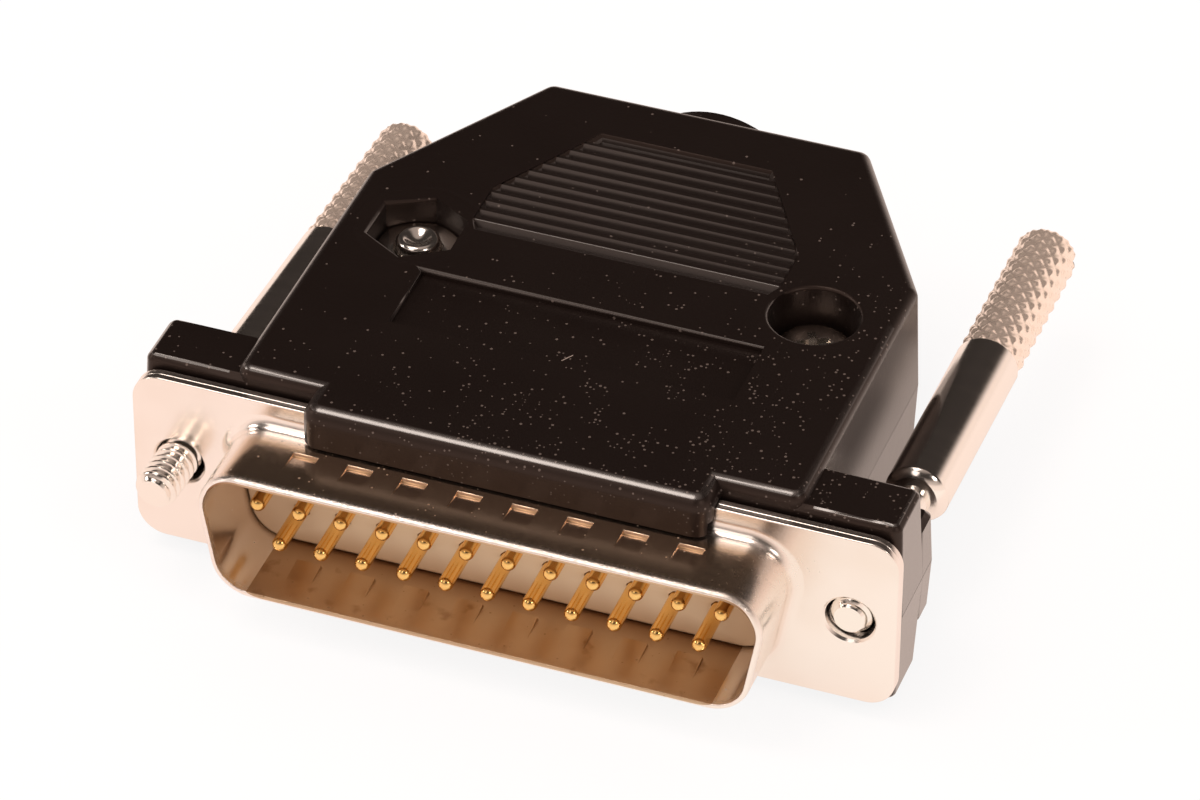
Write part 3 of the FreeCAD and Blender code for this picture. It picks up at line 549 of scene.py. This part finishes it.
def on_rim(x, y):
    """Whether an edge there is rounded: not on the panel, nor on the label recess's front edge."""
    return not on_grip(x, y) and not (abs(y - 8.9) < 0.05 and abs(x) < 11.6)


def on_grip(x, y):
    """Whether a place, in millimetres, is on the ribbed panel."""
    return 19.7 < y < 33 and abs(x) < 10.8


class CONNECTOR_OT_hood(bpy.types.Operator):
    """Soften the moulded edges of the two hood halves"""

    bl_idname = "connector.hood"
    bl_label = "Hood halves"

    def execute(self, context):
        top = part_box("hood_upper")[1].z / MM
        for node in ("hood_upper", "hood_lower"):
            mesh = welded(node)
            rims = sharp_edges(mesh, lambda x, y, z: abs(abs(z) - top) < 0.01 and on_rim(x, y))
            soften(mesh, rims, 0.25 * MM)
            ribs = sharp_edges(mesh, lambda x, y, z: abs(z) > top - 0.2 and on_grip(x, y), 20)
            soften(mesh, ribs, 0.06 * MM, 2)
            ears = sharp_edges(mesh, lambda x, y, z: 6.4 < abs(z) < 6.95 and abs(x) > 19.2, 20)
            soften(mesh, ears, 0.12 * MM, 2)
            stand_in(node, mesh)
        return {"FINISHED"}


class CONNECTOR_OT_shells(bpy.types.Operator):
    """Round the sheared edges of the two plated shells"""

    bl_idname = "connector.shells"
    bl_label = "Plated shells"

    def execute(self, context):
        for node in ("front_shell", "rear_shell"):
            low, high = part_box(node)
            mesh = welded(node)
            front = low.y / MM if node == "rear_shell" else 0
            side, top = high.x / MM - 2, high.z / MM - 2
            rim = sharp_edges(mesh, lambda x, y, z: abs(y - front) < 0.01 and (abs(x) > side or abs(z) > top))
            soften(mesh, rim, 0.1 * MM)
            if node == "front_shell":
                self.finish_mouth(mesh, low.y / MM)
            stand_in(node, mesh)
        return {"FINISHED"}

    def finish_mouth(self, mesh, mouth):
        """Runs the dimples out into the wall, softens them, and rounds the rim of the mouth."""
        dimples_front, walls, rim_rounding, rim_width = -3.9, (4.63, 4.18), 0.14, 0.3
        for corner in mesh.verts:
            _, along, up = corner.co / MM
            if abs(along - dimples_front) < 0.02:
                for wall in walls:
                    if 0.001 < wall - abs(up) < 0.05:
                        corner.co.z = math.copysign(wall * MM, up)
            elif abs(along - mouth - rim_rounding) < 0.02:
                corner.co.y = (mouth + rim_width) * MM
        bmesh.ops.remove_doubles(mesh, verts=mesh.verts, dist=WELD)
        pressed = sharp_edges(mesh, lambda x, y, z: -3.95 < y < -1.9 and 4 < abs(z) < 4.7 and abs(x) < 15, 14)
        soften(mesh, pressed, 0.06 * MM, 2)
        rim = sharp_edges(mesh, lambda x, y, z: mouth - 0.01 < y < mouth + 0.32, 20)
        soften(mesh, rim, 0.1 * MM)


class CONNECTOR_OT_insulator(bpy.types.Operator):
    """Round the front edge of the pale insulator"""

    bl_idname = "connector.insulator"
    bl_label = "Front insulator"

    def execute(self, context):
        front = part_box("front_insulator")[0].y / MM
        mesh = welded("front_insulator")
        face = sharp_edges(mesh, lambda x, y, z: abs(y - front) < 0.01 and (abs(x) > 16.2 or abs(z) > 3.5))
        soften(mesh, face, 0.3 * MM)
        stand_in("front_insulator", mesh)
        return {"FINISHED"}


class CONNECTOR_OT_pins(bpy.types.Operator):
    """Turn the contact pins with round noses and solder cups"""

    bl_idname = "connector.pins"
    bl_label = "Pins"

    def execute(self, context):
        for node in PINS:
            low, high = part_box(node)
            mesh = bmesh.new()
            radius, collar, cup = 0.5 * MM, (high.x - low.x) / 2, 0.62 * MM
            nose = low.y + radius
            shelf = 1.62 * MM
            profile = arc((nose, 0), radius, 0, 90, 8)
            profile += [(shelf, radius), (shelf, collar * 0.94), (shelf + 0.05 * MM, collar)]
            profile += [(shelf + 0.7 * MM, collar), (shelf + 0.75 * MM, collar * 0.94)]
            floor = high.y - 2.8 * MM
            profile += [(shelf + 0.75 * MM, cup), (floor, cup), (floor, 0)]
            turned(mesh, profile, 24)
            self.add_cup(mesh, floor - 0.1 * MM, high.y, cup, 1 if low.z > 0 else -1)
            middle = Vector(((low.x + high.x) / 2, 0, (low.z + high.z) / 2))
            bmesh.ops.translate(mesh, verts=mesh.verts, vec=middle)
            stand_in(node, mesh, node + "_turned")
        return {"FINISHED"}

    def add_cup(self, mesh, start, end, radius, side):
        """A half tube, open away from the middle, that the wire is soldered into."""
        cup = bmesh.new()
        line = [cup.verts.new((radius - 0.1 * MM, along, 0)) for along in (start, end)]
        edge = cup.edges.new(line)
        bmesh.ops.spin(cup, geom=line + [edge], cent=(0, 0, 0), axis=(0, side, 0), angle=math.pi, steps=12)
        bmesh.ops.recalc_face_normals(cup, faces=cup.faces)
        bmesh.ops.solidify(cup, geom=cup.faces[:], thickness=0.2 * MM)
        data = bpy.data.meshes.new("cup")
        cup.to_mesh(data)
        cup.free()
        mesh.from_mesh(data)
        bpy.data.meshes.remove(data)


class CONNECTOR_OT_jackscrews(bpy.types.Operator):
    """Cut the thread and roll the knurl of the two long screws"""

    bl_idname = "connector.jackscrews"
    bl_label = "Jackscrews"

    def execute(self, context):
        for node, tip, lean in (("jackscrew_left", -3.6, 2.0), ("jackscrew_right", 0.0, 0.6)):
            mesh = bmesh.new()
            self.add_shank(mesh)
            self.add_thread(mesh)
            self.add_knurl(mesh)
            side = -1 if node.endswith("left") else 1
            pivot = Vector((side * 22.2, 5, 0)) * MM
            turn = Matrix.Rotation(math.radians(-lean), 4, "Z")
            shift = Matrix.Translation((0, (tip - 5) * MM, 0))
            bmesh.ops.transform(mesh, verts=mesh.verts, matrix=Matrix.Translation(pivot) @ turn @ shift)
            stand_in(node, mesh, node + "_cut")
        return {"FINISHED"}

    def add_shank(self, mesh):
        """The plain neck and shank, with a rounded shoulder."""
        profile = [(5.2, 0.0), (5.2, 1.1), (12.55, 1.1), (12.62, 1.5)]
        profile += [(12.66, 1.62), (13.08, 2.04), (13.22, 2.1), (27.3, 2.1), (27.42, 2.04), (27.42, 0.0)]
        turned(mesh, [(along * MM, radius * MM) for along, radius in profile])

    def add_thread(self, mesh):
        """One turn's ridge, carried round and along, then squared off and chamfered at the tip."""
        sizes = looks().jackscrew
        pitch, crest = sizes.thread_pitch, 1.38 * MM
        root = crest - sizes.thread_depth
        turn_steps, length, tip_radius = 32, 5.4 * MM, 0.95 * MM
        turns = math.ceil(length / pitch) + 2
        thread = bmesh.new()
        section = [(0, root), (0.12, root + 0.02 * MM), (0.34, crest - 0.03 * MM), (0.44, crest)]
        section += [(1 - at, radius) for at, radius in reversed(section)]
        line = [thread.verts.new((radius, (at - 1.5) * pitch, 0)) for at, radius in section]
        edges = [thread.edges.new(pair) for pair in zip(line, line[1:])]
        bmesh.ops.spin(thread, geom=line + edges, cent=(0, 0, 0), axis=(0, 1, 0),
                       dvec=(0, pitch / turn_steps, 0), angle=turns * math.tau, steps=turns * turn_steps)
        bmesh.ops.remove_doubles(thread, verts=thread.verts, dist=1e-6)
        for place, away in ((0.0, -1), (length, 1)):
            cut = bmesh.ops.bisect_plane(thread, geom=thread.verts[:] + thread.edges[:] + thread.faces[:],
                                         plane_co=(0, place, 0), plane_no=(0, away, 0), clear_outer=True)
            rim = [item for item in cut["geom_cut"] if isinstance(item, bmesh.types.BMEdge)]
            bmesh.ops.edgeloop_fill(thread, edges=rim)
        for corner in thread.verts:
            limit = tip_radius + max(corner.co.y, 0)
            across = math.hypot(corner.co.x, corner.co.z)
            if across > limit:
                corner.co.x *= limit / across
                corner.co.z *= limit / across
        join_into(mesh, thread)

    def add_knurl(self, mesh):
        """A bar drawn in along two crossing sets of helical grooves, with a slot for a screwdriver."""
        sizes = looks().jackscrew
        start, end, radius = 27.4 * MM, 40.51 * MM, 2.1 * MM
        slot_width, slot_depth, end_rounding, end_draw = 0.7 * MM, 1 * MM, 0.45 * MM, 0.42 * MM
        columns, rows = sizes.knurl_around * 8, round((end - start) / sizes.knurl_pitch * 8)
        knurl = bmesh.new()
        profile = [(start, 0.0), (start, radius)]
        profile += [(start + (end - start) * row / rows, radius) for row in range(1, rows + 1)]
        profile += [(end, radius * 0.5), (end, 0.0)]
        turned(knurl, profile, columns)
        for corner in knurl.verts:
            along = (corner.co.y - start) / sizes.knurl_pitch
            across = math.hypot(corner.co.x, corner.co.z)
            if across < radius * 0.9:
                continue
            round_part = math.atan2(corner.co.z, corner.co.x) / math.tau * sizes.knurl_around
            first, second = (round_part + along) % 1, (round_part - along) % 1
            height = min(1 - abs(2 * first - 1), 1 - abs(2 * second - 1))
            fade = min(1, (end - corner.co.y) / end_rounding)
            drawn = radius - sizes.knurl_depth * (1 - min(1, height * 1.25)) - end_draw * (1 - fade)
            corner.co.x *= drawn / across
            corner.co.z *= drawn / across
        slot = bmesh.new()
        bmesh.ops.create_cube(slot, size=1)
        bmesh.ops.scale(slot, verts=slot.verts, vec=(radius * 3, slot_depth * 2, slot_width))
        bmesh.ops.translate(slot, verts=slot.verts, vec=(0, end, 0))
        join_into(mesh, combined(knurl, slot, "DIFFERENCE"))


def join_into(mesh, other):
    """Adds a second mesh to the first and frees it."""
    data = bpy.data.meshes.new("joined")
    other.to_mesh(data)
    other.free()
    mesh.from_mesh(data)
    bpy.data.meshes.remove(data)


class CONNECTOR_OT_fasteners(bpy.types.Operator):
    """Shape the pan heads, their cross recesses, the screw ends and the nuts"""

    bl_idname = "connector.fasteners"
    bl_label = "Screws and nuts"

    def execute(self, context):
        for node, side in (("hood_screw_right", 1), ("hood_screw_left", -1)):
            self.make_screw(node, side)
        for node in ("hood_nut_right", "hood_nut_left"):
            self.make_nut(node)
        return {"FINISHED"}

    def make_screw(self, node, side):
        """A pan head that points up on the right and down on the left."""
        low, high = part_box(node)
        middle = (low + high) / 2
        tip, crown = (low.z, high.z) if side > 0 else (-high.z, -low.z)
        seat, head, shaft = crown - 1.9 * MM, 2.7 * MM, 1.47 * MM
        end = [(0.42, 0), (0.38, 0.3), (0.24, 0.62), (0.08, 0.86), (0.01, 1.0), (0, 1.08), (0.03, 1.2)]
        end += [(0.12, 1.34), (0.3, 1.44)]
        profile = [(tip + along * MM, radius * MM) for along, radius in end]
        profile += [(tip + 0.5 * MM, shaft), (seat, shaft), (seat, head - 0.1 * MM)]
        profile += [(seat + 0.1 * MM, head), (seat + 0.75 * MM, head), (seat + 1.2 * MM, head - 0.12 * MM)]
        profile += [(seat + 1.55 * MM, head - 0.42 * MM), (seat + 1.78 * MM, head - 0.95 * MM)]
        profile += [(seat + 1.87 * MM, head - 1.6 * MM), (crown, 0)]
        mesh = bmesh.new()
        turned(mesh, profile, 48)
        stand_up(mesh)
        for quarter in (0, 1):
            mesh = combined(mesh, self.recess(crown, math.pi / 2 * quarter + 0.5), "DIFFERENCE")
        if side < 0:
            turn_mesh(mesh, math.pi, "Y")
        bmesh.ops.translate(mesh, verts=mesh.verts, vec=(middle.x, middle.y, 0))
        stand_in(node, mesh, node + "_turned")

    def recess(self, crown, angle, depth=1.15 * MM, width=0.62 * MM, reach=1.55 * MM):
        """One arm of the cross, which narrows downwards, to be taken out of the head."""
        arm = bmesh.new()
        bmesh.ops.create_cube(arm, size=1)
        bmesh.ops.scale(arm, verts=arm.verts, vec=(reach * 2, width, depth * 2))
        foot = [corner for corner in arm.verts if corner.co.z < 0]
        bmesh.ops.scale(arm, verts=foot, vec=(0.35, 0.7, 1))
        turn_mesh(arm, angle, "Z")
        bmesh.ops.translate(arm, verts=arm.verts, vec=(0, 0, crown))
        return arm

    def make_nut(self, node):
        """A hexagon nut with chamfered corners and a countersunk hole."""
        low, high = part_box(node)
        height, bore, corner = high.z - low.z, 1.51 * MM, (high.y - low.y) / 2
        flat, above = (high.x - low.x) / 2, 1 * MM
        prism = bmesh.new()
        bmesh.ops.create_cone(prism, cap_ends=True, segments=6, radius1=corner, radius2=corner,
                              depth=height + above * 2)
        bmesh.ops.translate(prism, verts=prism.verts, vec=(0, 0, height / 2))
        ring = [(0.12 * MM, bore), (0, bore + 0.12 * MM), (0, flat * 0.97), (0.35 * MM, corner + 0.1 * MM)]
        ring += [(height - along, radius) for along, radius in reversed(ring)]
        body = bmesh.new()
        turned(body, ring + ring[:1], 48)
        stand_up(body)
        mesh = combined(body, prism, "INTERSECT")
        middle = (low + high) / 2
        bmesh.ops.translate(mesh, verts=mesh.verts, vec=(middle.x, middle.y, low.z))
        stand_in(node, mesh, node + "_formed")


def turn_mesh(mesh, angle, axis):
    bmesh.ops.rotate(mesh, verts=mesh.verts, cent=(0, 0, 0), matrix=Matrix.Rotation(angle, 3, axis))


def stand_up(mesh):
    """Turns what was spun round Y so that its axis points up."""
    turn_mesh(mesh, math.pi / 2, "X")


def combined(mesh, other, operation):
    """The first mesh cut by the second, or what they share."""
    body, tool = new_piece("body", mesh), new_piece("tool", other)
    step = body.modifiers.new("step", "BOOLEAN")
    step.object = tool
    step.operation = operation
    step.solver = "EXACT"
    result = body.evaluated_get(bpy.context.evaluated_depsgraph_get())
    made = bmesh.new()
    made.from_mesh(result.data)
    for piece in (body, tool):
        bpy.data.meshes.remove(piece.data)
    return made


class CONNECTOR_OT_stage(bpy.types.Operator):
    """Set up the white floor, the lamps, the surroundings and the camera"""

    bl_idname = "connector.stage"
    bl_label = "Stage"

    def execute(self, context):
        look = looks().stage
        lay_floor(look)
        fill_surroundings(look)
        hang_lamps()
        aim_camera(look)
        context.scene.view_settings.view_transform = "Standard"
        return {"FINISHED"}


def lay_floor(look):
    """A white floor that stays white for the camera and warm white in reflections, but keeps the shadow."""
    mesh = bmesh.new()
    bmesh.ops.create_grid(mesh, x_segments=1, y_segments=1, size=look.floor_size / 2)
    bmesh.ops.translate(mesh, verts=mesh.verts, vec=(0, 0, CAD_BOX[0].z))
    floor = new_piece("floor", mesh)
    material, shader = new_material("floor_white")
    path = shader.add("ShaderNodeLightPath")
    direct = path[0].maths("MAXIMUM", path[3]).maths("MAXIMUM", path[6])
    paint = shader.add("ShaderNodeBsdfDiffuse", {}, {"Color": (0.93, 0.96, 1.0, 1)})[0]
    east, north, _ = shader.axes()
    side = east.ramp(-18 * MM, 18 * MM) * (1 - north.ramp(-6 * MM, 4 * MM))
    seen = shader.blend(side, colour(look.warmth), (1.0, 0.88, 0.78, 1))
    tint = shader.blend(path[0], seen, (1, 1, 1, 1))
    glow = shader.add("ShaderNodeEmission", {}, {"Color": tint, "Strength": 1.0})[0]
    mixed = shader.add("ShaderNodeMixShader", {}, [direct * 0.86, paint, glow])[0]
    shader.add("ShaderNodeOutputMaterial", {}, {"Surface": mixed})
    floor.data.materials.append(material)


def fill_surroundings(look):
    """Pale light from all round, and for reflections a warm bright horizon under a dark sky."""
    world = bpy.data.worlds.new("surroundings")
    world.use_nodes = True
    shader = Shader(world.node_tree)
    east, north, up = shader.axes(shader.add("ShaderNodeTexCoord")[0])
    dim = north.ramp(0.4, 0.6) * (1 - east.ramp(-0.35, -0.05))
    horizon = (1 - up.ramp(0.2, 0.46)) * (1 - dim)
    front = (north * -1).ramp(0.0, 0.6) * (1 - up.ramp(0.4, 0.65)) * 0.55
    zenith = up.ramp(0.82, 0.95) * 0.3
    path = shader.add("ShaderNodeLightPath")
    gloss = horizon.maths("MAXIMUM", front).maths("MAXIMUM", zenith) * 0.95 + 0.026
    level = path[3] * (gloss - 1) + 1
    tint = shader.blend(path[0], colour(look.warmth), (1, 1, 1, 1))
    strength = path[0].maths("MAXIMUM", level)
    light = shader.add("ShaderNodeBackground", {}, {"Color": tint, "Strength": strength})[0]
    shader.add("ShaderNodeOutputWorld", {}, {"Surface": light})
    bpy.context.scene.world = world


def hang_lamp(name, towards, size, power):
    """A soft square lamp in a direction from the part, 0.8 m away and aimed at it."""
    data = bpy.data.lights.new(name, "AREA")
    data.shape = "SQUARE"
    data.size = size
    data.energy = power
    data.color = (1.0, 0.88, 0.8)
    lamp = bpy.data.objects.new(name, data)
    middle = Vector((0, 0.015, 0))
    lamp.location = middle + Vector(towards).normalized() * 0.8
    lamp.rotation_euler = (middle - lamp.location).to_track_quat("-Z", "Y").to_euler()
    bpy.context.scene.collection.objects.link(lamp)


def hang_lamps():
    """One lamp above for the flat faces and three for the edges that face the front, left and right."""
    hang_lamp("lamp_over", (-0.25, -0.18, 0.95), 0.3, 1.4)
    hang_lamp("lamp_front", (-0.27, -0.59, 0.71), 0.3, 0.42)
    hang_lamp("lamp_left", (-0.83, -0.23, 0.52), 0.16, 0.7)
    hang_lamp("lamp_right", (0.68, -0.36, 0.64), 0.16, 0.7)


def aim_camera(look):
    """The camera of the photograph, turned about the point that it looks at."""
    data = bpy.data.cameras.new("camera")
    data.lens = look.lens
    data.sensor_width = 36
    data.clip_start = 0.01
    camera = bpy.data.objects.new("camera", data)
    turn = Matrix.Rotation(math.radians(look.azimuth), 4, "Z")
    turn @= Matrix.Rotation(math.radians(90 - look.elevation), 4, "X")
    turn @= Matrix.Rotation(math.radians(look.roll), 4, "Z")
    back = turn @ Vector((0, 0, look.distance))
    camera.matrix_world = Matrix.Translation(Vector(look.aim) + back) @ turn
    bpy.context.scene.collection.objects.link(camera)
    bpy.context.scene.camera = camera


class CONNECTOR_PT_panel(bpy.types.Panel):
    """The steps of the finish, in order"""

    bl_idname = "CONNECTOR_PT_panel"
    bl_label = "Connector"
    bl_space_type = "VIEW_3D"
    bl_region_type = "UI"
    bl_category = "Connector"

    def draw(self, context):
        for step in STEPS:
            self.layout.operator(step.bl_idname)


STEPS = (CONNECTOR_OT_finishes, CONNECTOR_OT_hood, CONNECTOR_OT_shells, CONNECTOR_OT_insulator,
         CONNECTOR_OT_pins, CONNECTOR_OT_jackscrews, CONNECTOR_OT_fasteners, CONNECTOR_OT_stage)
GROUPS = (HoodLook, MetalLook, JackscrewSize, StageLook, ConnectorLooks)
CLASSES = (*GROUPS, *STEPS, CONNECTOR_PT_panel)


def register():
    for item in CLASSES:
        bpy.utils.register_class(item)
    bpy.types.Scene.connector_looks = PointerProperty(type=ConnectorLooks)


def unregister():
    del bpy.types.Scene.connector_looks
    for item in reversed(CLASSES):
        bpy.utils.unregister_class(item)


def main():
    register()
    bpy.ops.connector.finishes()
    bpy.ops.connector.hood()
    bpy.ops.connector.shells()
    bpy.ops.connector.insulator()
    bpy.ops.connector.pins()
    bpy.ops.connector.jackscrews()
    bpy.ops.connector.fasteners()
    bpy.ops.connector.stage()


if __name__ == "__main__":
    main()
